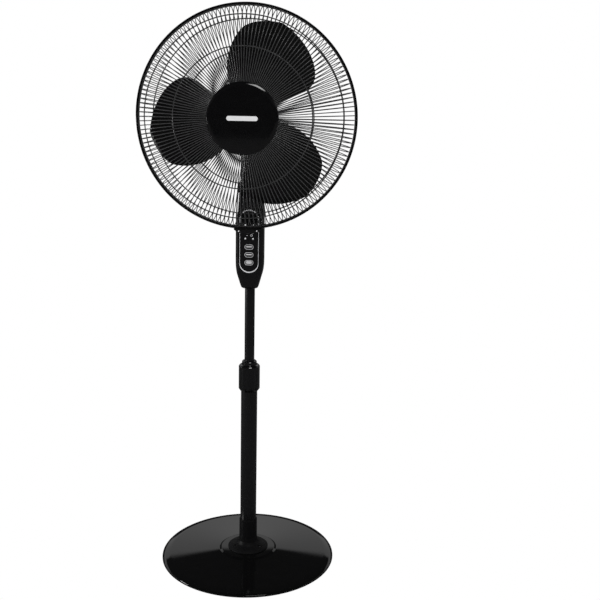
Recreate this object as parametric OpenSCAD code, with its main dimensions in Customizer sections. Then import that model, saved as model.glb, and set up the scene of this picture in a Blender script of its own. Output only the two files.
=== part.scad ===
// Pedestal fan on a round base, with a telescopic pole and an oscillating head.
// Millimetres. +Z is up, the fan blows towards -Y, the origin is on the floor
// under the pole's axis.

/* [Stand] */
// Radius of the round base
base_r = 198; // [190:1:205]
// Height of the base at its centre
base_h = 24; // [22:1:28]
// Outer radius of the lower tube
tube_r = 18.3; // [17:0.1:19]
// Height of the lower tube's top end
tube_top = 412; // [400:1:420]
// Outer radius of the sliding pole
pole_r = 11; // [10:0.1:11.5]

/* [Column] */
// Height of the column's bottom end
col_bottom = 635; // [625:1:645]
// Height of the tilt hinge
tilt_z = 885; // [875:1:890]
// Width of the column
col_w = 60; // [56:1:64]
// Depth of the column, front to back
col_d = 54; // [50:1:58]

/* [Head] */
// Height of the blade's axis
head_z = 1000; // [990:1:1010]
// Radius of the guard's outer ring
guard_r = 220; // [215:1:225]
// Distance from the pole's axis forward to the guard's ring plane
ring_y = 104; // [102:1:106]
// Number of radial wires on each guard half
wires = 75; // [50:25:150]
// Radius of the blade's tip circle
blade_r = 196; // [186:1:200]
// Radius of the motor casing
motor_r = 52; // [50:1:54]

/* [Hidden] */
$fn = 64;
e = 0.01;          // overlap that joins two shapes of one piece
fit = 0.05;        // running clearance, and the gap between touching pieces
black = [0.04, 0.04, 0.045];
steel = [0.62, 0.63, 0.65];

// ---- helpers -------------------------------------------------------------
// A ring about Z, from z0 to z1
module tube(z0, z1, r_in, r_out) {
    translate([0, 0, z0]) difference() {
        cylinder(h = z1 - z0, r = r_out);
        translate([0, 0, -1]) cylinder(h = z1 - z0 + 2, r = r_in);
    }
}
module rod(z0, z1, r) {
    translate([0, 0, z0]) cylinder(h = z1 - z0, r = r);
}
// Places children on the blade's axis: their +Z points forwards, out of the ring plane
module on_axis(forward = 0) {
    translate([0, -forward, head_z]) rotate([90, 0, 0]) children();
}
module around(n, r, start = 0) {
    for (i = [0 : n - 1]) rotate(start + i * 360 / n) translate([r, 0, 0]) children();
}
// Screw with a domed head, pointing down from z = 0
module screw(shank_r, shank_h, head_r, head_h) {
    rod(-shank_h, e, shank_r);
    rod(0, head_h, head_r);
}

// ---- base ----------------------------------------------------------------
shell = 2.5;
boss_r = 62;
boss_h = base_h - 4;
plug_r = tube_r + 2.5;
sleeve_h = 90;
module base_cover() {
    color(black) difference() {
        rotate_extrude() polygon([[plug_r + 0.4, boss_h], [boss_r - 4, boss_h],
            [boss_r, boss_h - 4], [base_r - 3, 9.5], [base_r - 0.8, 8], [base_r, 5],
            [base_r, 1], [base_r - shell, 1], [base_r - shell, 5.2], [base_r - 4.2, 7.3],
            [boss_r - 2, boss_h - 6.6], [boss_r - 5, boss_h - shell],
            [plug_r + 0.4, boss_h - shell]]);
        around(4, 170, 45) translate([0, 0, -1]) cylinder(h = 6, r = 2);
    }
    color(black) around(4, 150, 45) tube(4.2, 9.6, 1.5, 4);
}
module base_weight() {
    color("dimgray") difference() {
        rod(4.2, 9.4, 142);
        translate([0, 0, 3]) cylinder(h = 9, r = 26);
    }
}
module base_plate() {
    color("black") difference() {
        rod(2.6, 4, base_r - shell - 0.6);
        translate([0, 0, 2]) cylinder(h = 3, r = 18);
        around(4, 150, 45) translate([0, 0, 2]) cylinder(h = 3, r = 1.7);
    }
}
module base_feet() {
    color("black") around(6, 180) rod(0, 2.55, 8);
}
module base_screws() {
    color(steel) around(4, 150, 45) translate([0, 0, 2.55]) mirror([0, 0, 1])
        screw(1.45, 6, 3.4, 1.2);
}
module foot_collar() {
    color(black) difference() {
        rotate_extrude() polygon([[tube_r + fit, boss_h + fit], [42, boss_h + fit], [42, boss_h + 3],
            [40, boss_h + 6], [26, boss_h + 10], [tube_r + 3.5, boss_h + 16],
            [tube_r + 1.7, boss_h + 24], [tube_r + 1.5, sleeve_h - 1], [tube_r + 0.9, sleeve_h],
            [tube_r + fit, sleeve_h]]);
        around(3, 33, 90) translate([0, 0, boss_h + 4]) cylinder(h = 12, r = 3.2);
    }
    color(steel) around(3, 33, 90) rod(boss_h + 4, boss_h + 6.4, 3);
}
module pole_nut() {
    color(steel) difference() {
        union() {
            rod(10.2, 13.6, 24);
            translate([0, 0, 4.6]) cylinder(h = 5.61, r = 16, $fn = 6);
        }
        translate([0, 0, 3]) cylinder(h = 12, r = 4);
    }
}

// ---- telescopic pole -----------------------------------------------------
collar_z0 = 404;
collar_z1 = 469;
grip_z = 456.4;    // where the grip ends and the narrower lip starts
collar_r = 23.2;
collet_top = tube_top + 41;
module lower_tube() {
    color(black) tube(13.65, tube_top, tube_r - 1.3, tube_r);
    color(steel) rod(13.65, 16, tube_r - 1);
}
module collet() {
    color("dimgray") difference() {
        union() {
            rod(tube_top - 30, tube_top + e, tube_r - 1.3 - fit);
            rod(tube_top, tube_top + 3, tube_r);
            rotate_extrude() polygon([[0, tube_top + 3 - e], [15.6, tube_top + 3 - e],
                [15.6, tube_top + 18], [13.4, collet_top], [0, collet_top]]);
        }
        translate([0, 0, tube_top - 40]) cylinder(h = 100, r = pole_r + fit);
        for (a = [0, 60, 120]) rotate(a) translate([-20, -0.8, tube_top + 8])
            cube([40, 1.6, 50]);
    }
}
module lock_collar() {
    color(black) difference() {
        rotate_extrude() polygon([[tube_r + 0.6, collar_z0], [tube_r + 2, collar_z0],
            [collar_r, collar_z0 + 7], [collar_r, grip_z - 3], [collar_r - 3, grip_z + 2],
            [16.6, grip_z + 5], [16.4, collar_z1 - 1.5], [15, collar_z1],
            [pole_r + 0.8, collar_z1], [pole_r + 0.8, grip_z + 1], [16.6, grip_z - 6],
            [16.6, tube_top + 4], [tube_r + 0.6, tube_top + 4]]);
        around(12, collar_r + 3.1) translate([0, 0, collar_z0 + 10])
            cylinder(h = grip_z - collar_z0 - 14, r = 4.2);
    }
}
pole_z0 = 224;
pole_z1 = 720;
module upper_pole() {
    color(black) tube(pole_z0, pole_z1, pole_r - 1.2, pole_r);
}
stop_r = tube_r - 1.7;
module pole_stop() {
    color("dimgray") difference() {
        rotate_extrude() polygon([[0, pole_z0 - 4], [stop_r - 1.8, pole_z0 - 4],
            [stop_r, pole_z0], [stop_r, pole_z0 + 14], [stop_r - 1.8, pole_z0 + 18],
            [pole_r + fit, pole_z0 + 18],
            [pole_r + fit, pole_z0 - fit], [pole_r - 1.2 - fit, pole_z0 - fit],
            [pole_r - 1.2 - fit, pole_z0 + 12], [0, pole_z0 + 12]]);
        translate([0, 0, pole_z0 - 5]) cylinder(h = 20, r = 4);
    }
}

// ---- column --------------------------------------------------------------
wall = 2.5;
split_y = 3;       // where the front and rear shells meet
col_top = 872;
panel_w = 42;
panel_z0 = 672;
panel_z1 = 810;
button_z = [729, 712, 695];
light_z = [776, 760, 747];
// Outline of a slot w wide and h high with round ends, centred
function slot(w, h) = let (r = w / 2, n = 16) concat(
    [for (i = [0 : n]) [r * cos(i * 180 / n), h / 2 - r + r * sin(i * 180 / n)]],
    [for (i = [0 : n]) [-r * cos(i * 180 / n), r - h / 2 - r * sin(i * 180 / n)]]);
// A slot-shaped plate that faces forwards, from y0 (front) to y1 (back)
module face_plate(z, w, h, y0, y1) {
    translate([0, y1, z]) rotate([90, 0, 0]) linear_extrude(y1 - y0) polygon(slot(w, h));
}
// The oval lies on its side
module button_plate(z, w, h, y0, y1) {
    translate([0, y1, z]) rotate([90, 0, 0]) rotate(90) linear_extrude(y1 - y0)
        polygon(slot(h, w));
}
// The column's body, inset by t all round
module column_form(t) {
    intersection() {
        translate([t - col_w / 2, t - col_d / 2, col_bottom - 1])
            cube([col_w - 2 * t, col_d - 2 * t, 260]);
        rotate_extrude() polygon([[0, col_bottom + t], [16 - t, col_bottom + t],
            [19.4 - t, col_bottom + 6], [25 - t, col_bottom + 26], [29.4 - t, col_bottom + 42],
            [34 - t, col_bottom + 60], [34 - t, 835], [30 - t, 855], [24.2 - t, col_top - t],
            [0, col_top - t]]);
    }
}
module column_shell() {
    difference() {
        column_form(0);
        column_form(wall);
        translate([0, 0, col_bottom - 2]) cylinder(h = 10, r = pole_r + 0.3);
        translate([-19.6, -17, 852]) cube([39.2, 34, 30]);
    }
}
boss_x = 17;
boss_z = [740, 820];
module column_front() {
    color(black) difference() {
        column_shell();
        translate([-50, split_y, 600]) cube([100, 60, 300]);
        face_plate((panel_z0 + panel_z1) / 2, panel_w - 1, panel_z1 - panel_z0 - 1, -40, 0);
    }
    color(black) for (s = [-1, 1], z = boss_z) {
        translate([s * boss_x, split_y - 0.1, z]) rotate([90, 0, 0]) tube(0, 15, 1.5, 3.2);
        translate([s * (boss_x + 6.6) - 4, -8, z - 1]) cube([8, 8, 2]);
    }
}
module column_rear() {
    color(black) difference() {
        column_shell();
        translate([-50, split_y - 60 + fit, 600]) cube([100, 60, 300]);
        for (s = [-1, 1], z = boss_z) translate([s * boss_x, 60, z]) rotate([90, 0, 0])
            cylinder(h = 60, r = 1.7);
    }
}
module column_screws() {
    color(steel) for (s = [-1, 1], z = boss_z) translate([s * boss_x, col_d / 2 + fit, z])
        rotate([-90, 0, 0]) screw(1.45, 36, 3, 1.2);
}
module pole_clamp() {
    color("dimgray") difference() {
        translate([-18, -13, 690]) cube([36, 26, 24]);
        translate([0, 0, 680]) cylinder(h = 40, r = pole_r + fit);
        translate([10, -1, 680]) cube([12, 2, 40]);
    }
    color(steel) translate([15, 13.05, 702]) rotate([-90, 0, 0]) rod(0, 2.2, 3);
}
module control_panel() {
    color([0.02, 0.02, 0.025]) difference() {
        face_plate((panel_z0 + panel_z1) / 2, panel_w - 4, panel_z1 - panel_z0 - 4, -28, -25.4);
        for (z = button_z) button_plate(z, 20.6, 12.6, -40, 0);
        for (z = light_z, s = [-1, 1]) translate([s * 7.6, 0, z]) rotate([90, 0, 0])
            cylinder(h = 40, r = 1.5);
    }
}
module panel_trim() {
    z = (panel_z0 + panel_z1) / 2;
    color([0.75, 0.76, 0.78]) difference() {
        face_plate(z, panel_w - 1.2, panel_z1 - panel_z0 - 1.2, -28.4, -25.4);
        face_plate(z, panel_w - 3.9, panel_z1 - panel_z0 - 3.9, -40, 0);
    }
}
module push_button(z) {
    color([0.08, 0.08, 0.085]) {
        button_plate(z, 20, 12, -29.2, -25.2);
        button_plate(z, 23, 15, -25.3, -24.2);
    }
}
module power_button() push_button(button_z[0]);
module speed_button() push_button(button_z[1]);
module timer_button() push_button(button_z[2]);
module indicator_lights() {
    color("white") for (z = light_z, s = [-1, 1]) translate([s * 7.6, -18.5, z])
        rotate([90, 0, 0]) rod(0, 9.7, 1.4);
}
module control_board() {
    color("darkgreen") translate([-13, -18.4, 684]) cube([26, 1.6, 112]);
    color("dimgray") for (z = button_z) translate([0, -18.4 + e, z]) rotate([90, 0, 0])
        rod(0, 4, 3);
}

// ---- neck and tilt hinge -------------------------------------------------
ear_r = 15.6;
ear_in = 12.2;
ear_out = 19.2;
neck_top = 926;
module across(z, y = 0) {
    translate([0, y, z]) rotate([0, 90, 0]) children();
}
module tilt_bracket_form() {
    for (s = [-1, 1]) translate([s * (ear_in + ear_out) / 2, 0, 0]) {
        across(tilt_z) translate([0, 0, (ear_in - ear_out) / 2])
            cylinder(h = ear_out - ear_in, r = ear_r);
        translate([(ear_in - ear_out) / 2, -ear_r, 853])
            cube([ear_out - ear_in, 2 * ear_r, tilt_z - 853]);
    }
    translate([-ear_out, -ear_r, 853]) cube([2 * ear_out, 2 * ear_r, 10]);
}
module tilt_bracket() {
    color(black) difference() {
        tilt_bracket_form();
        across(tilt_z) translate([0, 0, -40]) cylinder(h = 80, r = 4 + fit);
        translate([0, 0, 850]) cylinder(h = 20, r = 5);
    }
}
pin_n = 17;        // distance from the pivot to the link's fixed pin
pin_n_r = 1.6;
link_z = 943;
module tilt_neck() {
    color(black) difference() {
        union() {
            across(tilt_z) translate([0, 0, -12]) cylinder(h = 24, r = 15.2);
            translate([-12, -13, tilt_z]) cube([24, 26, 26]);
            rod(tilt_z + 5, neck_top, 19.5);
            rod(neck_top - 6, neck_top, 23);
        }
        across(tilt_z) translate([0, 0, -40]) cylinder(h = 80, r = 4 + fit);
        for (s = [-1, 1]) translate([s * 25, 0, 0]) across(tilt_z) translate([0, 0, -13])
            cylinder(h = 26, r = ear_r + 0.8);
        translate([0, 0, tilt_z + 20]) cylinder(h = 60, r = 6 + fit);
    }
    color(steel) translate([pin_n, 0, 0]) rod(neck_top - e, link_z - 0.4, pin_n_r);
}
module tilt_bolt() {
    color(steel) across(tilt_z) {
        rod(-ear_out - 1, ear_out + 4, 4);
        rod(-ear_out - 3, -ear_out - fit, 7);
    }
}
module tilt_nut() {
    color(steel) across(tilt_z) difference() {
        translate([0, 0, ear_out + fit]) cylinder(h = 3.4, r = 7, $fn = 6);
        translate([0, 0, ear_out - 5]) cylinder(h = 20, r = 4 + fit);
    }
}
pivot_top = 958;
module pivot_shaft() {
    color(steel) rod(tilt_z + 20.1, pivot_top, 6);
}
module pivot_clip() {
    color(steel) tube(case_z0 + 0.2, case_z0 + 1.4, 6 + fit, 8.5);
}

// ---- motor ---------------------------------------------------------------
// Along the blade's axis, distances are forward of the pole's axis
case_z0 = 954;     // underside of the gearbox
cover_front = 56;
cover_split = 10;
cover_back = -84;
shaft_r = 4;
shaft_front = 141;
gear_y = 38;       // how far behind the pole's axis the clutch shaft stands
clutch_x = -11;
pinion_r = 4;
pinion_teeth = 8;
crank_teeth = 30;
crank_gear_r = 15;
crank_lead = 4;    // how far ahead of the clutch shaft the crank's axle stands
crank_x = clutch_x + sqrt(pow(pinion_r + crank_gear_r, 2) - pow(crank_lead, 2));
crank_y = gear_y - crank_lead;
crank_throw = 10.9;
module gear_case() {
    color("gray") difference() {
        union() {
            rod(neck_top + 0.3, case_z0 - 2.4, 8.5);
            translate([-18, -9, case_z0 - 2.5]) cube([36, 38, 2.5]);
            translate([-22, -8, case_z0 - e]) cube([52, 60, 2.5]);
            translate([-22, 16, case_z0]) difference() {
                cube([52, 36, 62]);
                translate([2.1, 2.1, 2.4]) cube([47.8, 31.8, 57.2]);
            }
        }
        translate([0, 0, neck_top - 1]) cylinder(h = 60, r = 6 + fit);
        rod(case_z0, case_z0 + 6, 9);
        translate([crank_x, crank_y, case_z0 - 5]) cylinder(h = 10, r = 2 + fit);
        translate([clutch_x, gear_y, case_z0 + 50]) cylinder(h = 20, r = 2.5 + fit);
        on_axis(-30) cylinder(h = 20, r = 5.5);
    }
}
module motor_front_cover() {
    color(black) on_axis() difference() {
        rotate_extrude() polygon([[30, cover_front], [motor_r - 8, cover_front],
            [motor_r - 3, cover_front - 2], [motor_r, cover_front - 7], [motor_r, cover_split],
            [motor_r - 2.5, cover_split], [motor_r - 2.5, cover_front - 6],
            [motor_r - 8, cover_front - 2.5], [30, cover_front - 2.5]]);
        around(24, 38) translate([0, 0, cover_front - 5]) cylinder(h = 10, r = 2);
    }
}
module motor_rear_cover() {
    color(black) difference() {
        on_axis() difference() {
            rotate_extrude() polygon([[0, cover_back], [24, cover_back + 1], [36, cover_back + 6],
                [45, cover_back + 15], [50, cover_back + 27], [motor_r, cover_back + 44],
                [motor_r, cover_split - fit], [motor_r - 2.5, cover_split - fit],
                [motor_r - 2.5, cover_back + 44], [47.6, cover_back + 28],
                [43, cover_back + 17], [35, cover_back + 8.6], [24, cover_back + 3.6],
                [0, cover_back + 2.6]]);
            for (a = [-40 : 20 : 40], s = [0, 180]) rotate(a + s) translate([22, -2, cover_back - 1])
                cube([14, 4, 12]);
            translate([0, 0, cover_back - 1]) cylinder(h = 6, r = 2);
        }
        translate([-32, -27, 930]) cube([64, 84, 54]);
        translate([clutch_x, gear_y, head_z]) cylinder(h = 60, r = 7.6);
    }
}
module cover_screw() {
    color(steel) translate([0, -cover_back + 0.05, head_z]) rotate([-90, 0, 0])
        screw(1.9, 12, 4, 1.6);
}
stator_front = 32;
stator_back = 2;
stator_r = 36;
module stator() {
    color("silver") on_axis() difference() {
        rod(stator_back, stator_front, stator_r);
        translate([0, 0, -10]) cylinder(h = 60, r = 21.6);
        around(16, 24) translate([-3, -1.2, -10]) cube([10, 2.4, 60]);
    }
}
module windings() {
    color("peru") on_axis() for (z = [stator_back - 5.1, stator_front + 0.1])
        tube(z, z + 5, 23, 32);
}
module bracket(z0, z1, out) {
    difference() {
        union() {
            rod(z0, z1, 14);
            rod(out > 0 ? z0 : z1 - 2.5, out > 0 ? z0 + 2.5 : z1, stator_r + 3);
            around(4, stator_r + 5, 45) rod(out > 0 ? z0 : z1 - 2.5, out > 0 ? z0 + 2.5 : z1, 4);
        }
        translate([0, 0, z0 - 1]) cylinder(h = z1 - z0 + 2, r = 8 + fit);
        around(6, 25) translate([0, 0, z0 - 20]) cylinder(h = 40, r = 5);
        around(4, stator_r + 5, 45) translate([0, 0, z0 - 20]) cylinder(h = 40, r = 1.8);
    }
}
module front_bracket() {
    color("gray") on_axis() bracket(38, 47, 1);
}
module rear_bracket() {
    color("gray") on_axis() bracket(-13, -4, -1);
}
module bearings() {
    color("darkgoldenrod") on_axis() for (z = [-12.5, 38.5]) tube(z, z + 8, shaft_r + fit, 8);
}
module motor_screws() {
    color(steel) on_axis() around(4, stator_r + 5, 45) {
        rod(-9, 44, 1.75);
        rod(40.55, 43.5, 3.2);
    }
}
module capacitor() {
    color("khaki") translate([-5, 16, head_z + 18]) cube([28, 24, 14]);
}
module rotor() {
    color("gray") on_axis() difference() {
        rod(stator_back, stator_front, 21);
        translate([0, 0, -5]) cylinder(h = 60, r = shaft_r + fit);
    }
}
module motor_shaft() {
    color(steel) on_axis() {
        rod(-46, shaft_front, shaft_r);
    }
    color(steel) on_axis(-gear_y) for (i = [-2 : 2]) rod(3 * i - 0.8, 3 * i + 0.8, 4.6);
}
// Outline of a spur gear with straight-sided teeth
function gear_outline(n, r, turn = 0) = [for (i = [0 : n - 1], k = [0 : 3])
    let (a = (i + [-0.25, -0.1, 0.1, 0.25][k]) * 360 / n + turn, q = r + [-1, 0.6, 0.6, -1][k])
    [q * cos(a), q * sin(a)]];
module gear(n, r, h, turn = 0) {
    linear_extrude(h) polygon(gear_outline(n, r, turn));
}
wheel_r = 5.4;
module worm_wheel() {
    color("ivory") translate([clutch_x, gear_y, head_z - 4]) difference() {
        gear(20, wheel_r, 8);
        translate([0, 0, -1]) cylinder(h = 10, r = 2.5 + fit);
    }
}
gear_z = case_z0 + 4;
mesh_angle = atan2(crank_y - gear_y, crank_x - clutch_x);
module clutch_shaft() {
    color(steel) translate([clutch_x, gear_y, 0]) {
        rod(gear_z, head_z + 58, 2.5);
        translate([0, 0, gear_z]) gear(pinion_teeth, pinion_r, 4, mesh_angle);
        rod(gear_z + 4 + 2 * fit, gear_z + 6, 5);
    }
}
knob_z = head_z + 56;
module oscillation_knob() {
    color(black) translate([clutch_x, gear_y, 0]) difference() {
        union() {
            rod(head_z + 42, knob_z + 8, 5);
            rod(knob_z, knob_z + 20, 7.2);
        }
        rod(head_z + 40, knob_z + 12, 2.5 + fit);
    }
}
module crank_gear() {
    color("ivory") translate([crank_x, crank_y, 0]) {
        translate([0, 0, gear_z]) gear(crank_teeth, crank_gear_r, 4,
            mesh_angle + 180 + 180 / crank_teeth);
        rod(case_z0 - 6.5, gear_z + e, 2);
        difference() {
            union() {
                rod(case_z0 - 6.5, case_z0 - 3.3, 5);
                rod_x = crank_throw;
                translate([0, -4, case_z0 - 6.5]) cube([rod_x, 8, 3.2]);
                translate([rod_x, 0, 0]) rod(case_z0 - 6.5, case_z0 - 3.3, 4);
            }
            translate([crank_throw, 0, 900]) cylinder(h = 100, r = 1.6);
        }
        translate([crank_throw, 0, 0]) rod(link_z - 1, case_z0 - 3.3, 1.6);
    }
}
link_bow = 4.8;    // how far the link bows outwards to clear the pivot
link_half = 2;     // half the width of its bar
module crank_link() {
    x1 = crank_x + crank_throw;
    angle = atan2(crank_y, x1 - pin_n);
    length = sqrt(pow(crank_y, 2) + pow(x1 - pin_n, 2));
    color(steel) translate([x1, crank_y, link_z]) rotate(angle + 180) difference() {
        union() {
            rod(0, 3.5, 4.2);
            linear_extrude(3.5) polygon([[0, link_half], [10.3, link_bow + link_half],
                [27.7, link_bow + link_half], [length, link_half], [length, -link_half],
                [26.4, link_bow - link_half], [11.6, link_bow - link_half], [0, -link_half]]);
            translate([length, 0, 0]) rod(0, 3.5, 3.4);
        }
        translate([0, 0, -1]) cylinder(h = 6, r = 1.6 + fit);
    }
}

// ---- blade ---------------------------------------------------------------
hub_r = 46;
hub_front = 137;
blade_mid = 112;   // forward distance of the blade's middle
blade_steps = 14;  // stations from hub to tip
chord_steps = 10;
blade_t = 1.8;
// Angles of the leading and trailing edges at radius r, and the surface between them
function lead(r) = 26 + (r > 130 ? 43 * pow((r - 130) / (blade_r - 130), 2.4) : 0);
function trail(r) = 120 - 26 * pow(r / 168, 2)
    - (r > 168 ? 15.6 * pow((r - 168) / (blade_r - 168), 2.5) : 0);
function blade_radius(i) = let (s = 1 - i / blade_steps)
    hub_r - 1.4 + (blade_r - hub_r + 1.4) * (1 - pow(s, 1.7));
function blade_point(i, j, side) = let (
    r = blade_radius(i),
    s = j / chord_steps,
    a = lead(r) + (trail(r) - lead(r)) * s,
    lift = 0.66 * (a - 71) - 14 * s * (1 - s))
    [r * cos(a), r * sin(a), blade_mid + lift + side * blade_t / 2];
module blade() {
    n = chord_steps + 1;
    m = blade_steps + 1;
    top = n * m;
    edge = concat([for (j = [0 : chord_steps - 1]) j],
        [for (i = [0 : blade_steps - 1]) i * n + chord_steps],
        [for (j = [chord_steps : -1 : 1]) blade_steps * n + j],
        [for (i = [blade_steps : -1 : 1]) i * n]);
    polyhedron(
        points = [for (side = [1, -1], i = [0 : blade_steps], j = [0 : chord_steps])
            blade_point(i, j, side)],
        faces = concat(
            [for (i = [0 : blade_steps - 1], j = [0 : chord_steps - 1]) let (q = i * n + j)
                each [[q, q + 1, q + n + 1], [q, q + n + 1, q + n]]],
            [for (i = [0 : blade_steps - 1], j = [0 : chord_steps - 1]) let (q = top + i * n + j)
                each [[q, q + n + 1, q + 1], [q, q + n, q + n + 1]]],
            [for (k = [0 : len(edge) - 1]) let (p = edge[k], q = edge[(k + 1) % len(edge)])
                each [[p, p + top, q], [q, p + top, q + top]]]));
}
module fan_blade() {
    color([0.03, 0.03, 0.035]) on_axis() {
        difference() {
            rotate_extrude() polygon([[0, hub_front], [hub_r - 6, hub_front],
                [hub_r - 2, hub_front - 2], [hub_r, hub_front - 6], [hub_r, 86],
                [hub_r - 2.5, 86], [hub_r - 2.5, hub_front - 5], [hub_r - 6, hub_front - 3],
                [9, hub_front - 3], [9, 100], [0, 100]]);
            translate([0, 0, 90]) cylinder(h = 60, r = shaft_r + fit);
        }
        for (k = [0 : 2]) rotate(120 * k) blade();
    }
}
module blade_nut() {
    color("dimgray") on_axis() difference() {
        rotate_extrude() polygon([[0, hub_front + fit], [16, hub_front + fit],
            [16, hub_front + 4], [12, hub_front + 9], [5, hub_front + 12], [0, hub_front + 12]]);
        translate([0, 0, hub_front - 1]) cylinder(h = 6, r = shaft_r + fit);
    }
}

// ---- guard ---------------------------------------------------------------
// Profiles are radius against distance in front of the ring plane
wire_r = 0.9;
rim_r = 1.3;       // radius of the outer ring's rod
band_t = 1.55;
band_in = guard_r - band_t;
rim_centre = band_in - rim_r - fit;
wire_end = rim_centre - rim_r - wire_r - fit;
badge_r = 69;
front_in = 64;     // front wires start under the badge
front_flat = 84.5; // how far the front guard's middle stands ahead of the ring plane
rear_flat = 46;    // how far the rear guard's middle lies behind it
rear_in = 50;
rim_f = 3.2;       // the two outer rings lie this far either side of the ring plane
// A radial wire: straight from radius r_in, then a quarter circle down to the rim
module guard_wire(r_in, flat) {
    rad = flat - rim_f;
    bend = wire_end - rad;
    translate([r_in, 0, flat]) rotate([0, 90, 0])
        cylinder(h = bend - r_in, r = wire_r, $fn = 16);
    translate([bend, 0, rim_f]) rotate([90, 0, 0]) rotate_extrude(angle = 90, $fn = 96)
        translate([rad, 0]) circle(r = wire_r, $fn = 16);
}
// How far a wire's middle line stands from the ring plane at radius r
function wire_at(r, flat) = let (rad = flat - rim_f, x = r - wire_end + rad)
    x < 0 ? flat : rim_f + sqrt(pow(rad, 2) - pow(x, 2));
module ring(r, f, rod_r) {
    translate([0, 0, f]) rotate_extrude($fn = 180) translate([r, 0]) circle(r = rod_r, $fn = 20);
}
hoop_r = 1.2;
hoop_radii = [134, 196];
// A hoop that the wires rest on, just inside them at radius r
module hoop(r, flat) {
    rad = flat - rim_f;
    x = max(0, r - wire_end + rad);
    slope = asin(x / rad);
    gap = hoop_r + wire_r + fit;
    ring(r - gap * sin(slope), wire_at(r, flat) - gap * cos(slope), hoop_r);
}
module front_guard_wires() {
    color(black) on_axis(ring_y) around(wires, 0) guard_wire(front_in, front_flat);
}
module rear_guard_wires() {
    color(black) on_axis(ring_y) mirror([0, 0, 1]) around(wires, 0) guard_wire(rear_in, rear_flat);
}
module front_guard_rings() {
    color(black) on_axis(ring_y) {
        ring(rim_centre, rim_f, rim_r);
        for (r = concat([front_in + 2], hoop_radii)) hoop(r, front_flat);
    }
}
module rear_guard_rings() {
    color(black) on_axis(ring_y) mirror([0, 0, 1]) {
        ring(rim_centre, rim_f, rim_r);
        for (r = hoop_radii) hoop(r, rear_flat);
    }
}
plate_front = ring_y - rear_flat - wire_r - fit;   // where the rear wires touch the plate
module rear_guard_plate() {
    color(black) on_axis() tube(cover_front + fit, plate_front, 20, 62);
}
module guard_nut() {
    color(black) on_axis() difference() {
        rod(plate_front + fit, cover_front + 10, 34);
        translate([0, 0, cover_front]) cylinder(h = 20, r = 20);
        around(12, 35.6) translate([0, 0, cover_front]) cylinder(h = 20, r = 3);
    }
}
module front_badge() {
    color([0.04, 0.04, 0.045]) on_axis(ring_y + front_flat + wire_r + fit) rotate_extrude()
        polygon([[0, 0], [badge_r - 1, 0], [badge_r, 1], [badge_r - 1, 2.4], [badge_r - 9, 4],
            [0, 5]]);
}
module name_bar() {
    color("white") on_axis(ring_y + front_flat + wire_r + 5.1 + fit) rotate(90)
        linear_extrude(0.6) polygon(slot(9, 60));
}
module guard_band() {
    color(black) on_axis(ring_y) tube(-5.5, 5.5, band_in, guard_r);
}
clip_half = 28;    // half the clip's width
clip_thin = 2;     // its thickness at the ends
clip_thick = 8.6;  // and in the middle
clip_steps = 12;
// Outer or inner edge of the clip at step i from its middle, t outside the band
function clip_point(i, t) = let (a = i / clip_steps * asin(clip_half / guard_r))
    (guard_r + t) * [sin(a), -cos(a)];
function clip_depth(i) = clip_thin + (clip_thick - clip_thin) * (1 - pow(i / clip_steps, 4));
module guard_clip() {
    color(black) on_axis(ring_y) difference() {
        translate([0, 0, -9]) linear_extrude(18) polygon(concat(
            [for (i = [-clip_steps : clip_steps]) clip_point(i, fit)],
            [for (i = [-clip_steps : clip_steps]) clip_point(-i, clip_depth(i))]));
        translate([0, -guard_r + 20, 0]) rotate([90, 0, 0]) cylinder(h = 60, r = 2.1);
    }
}
module clip_screw() {
    color(steel) translate([0, -ring_y, head_z - guard_r - clip_thick - fit]) mirror([0, 0, 1])
        screw(1.9, clip_thick - 0.3, 3.6, 1.6);
}

base_cover();
base_weight();
base_plate();
base_feet();
base_screws();
foot_collar();
pole_nut();
lower_tube();
collet();
lock_collar();
upper_pole();
pole_stop();
column_front();
column_rear();
column_screws();
pole_clamp();
tilt_bracket();
control_panel();
panel_trim();
power_button();
speed_button();
timer_button();
indicator_lights();
control_board();
tilt_neck();
tilt_bolt();
tilt_nut();
pivot_shaft();
pivot_clip();
gear_case();
motor_front_cover();
motor_rear_cover();
cover_screw();
stator();
windings();
front_bracket();
rear_bracket();
bearings();
motor_screws();
capacitor();
rotor();
motor_shaft();
worm_wheel();
clutch_shaft();
oscillation_knob();
crank_gear();
crank_link();
fan_blade();
blade_nut();
guard_nut();
rear_guard_wires();
rear_guard_rings();
rear_guard_plate();
front_guard_wires();
front_guard_rings();
front_badge();
name_bar();
guard_band();
guard_clip();
clip_screw();
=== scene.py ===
"""Looks of the pedestal fan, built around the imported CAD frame.

Metres, +Z up, the fan blows towards -Y. Helper shapes take millimetres and turn them into metres.
"""

import math

import bmesh
import bpy
from mathutils import Matrix, Vector


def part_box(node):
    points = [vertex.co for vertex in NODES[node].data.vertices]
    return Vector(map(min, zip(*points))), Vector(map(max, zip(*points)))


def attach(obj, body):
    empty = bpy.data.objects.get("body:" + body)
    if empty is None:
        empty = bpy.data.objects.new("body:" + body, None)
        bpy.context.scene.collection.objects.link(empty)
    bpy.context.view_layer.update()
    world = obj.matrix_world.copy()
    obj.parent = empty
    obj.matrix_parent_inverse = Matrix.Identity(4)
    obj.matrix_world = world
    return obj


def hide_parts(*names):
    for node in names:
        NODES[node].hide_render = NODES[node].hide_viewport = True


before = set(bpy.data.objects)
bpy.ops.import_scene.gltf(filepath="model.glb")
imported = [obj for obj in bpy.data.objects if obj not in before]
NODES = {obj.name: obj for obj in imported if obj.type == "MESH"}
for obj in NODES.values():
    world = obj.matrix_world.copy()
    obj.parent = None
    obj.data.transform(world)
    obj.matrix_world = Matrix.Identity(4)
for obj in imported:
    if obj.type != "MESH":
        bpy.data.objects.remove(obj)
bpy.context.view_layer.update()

MM = 0.001


def box_mm(node):
    """Lowest and highest corners of a CAD node, in millimetres."""
    low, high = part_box(node)
    return low / MM, high / MM


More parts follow.
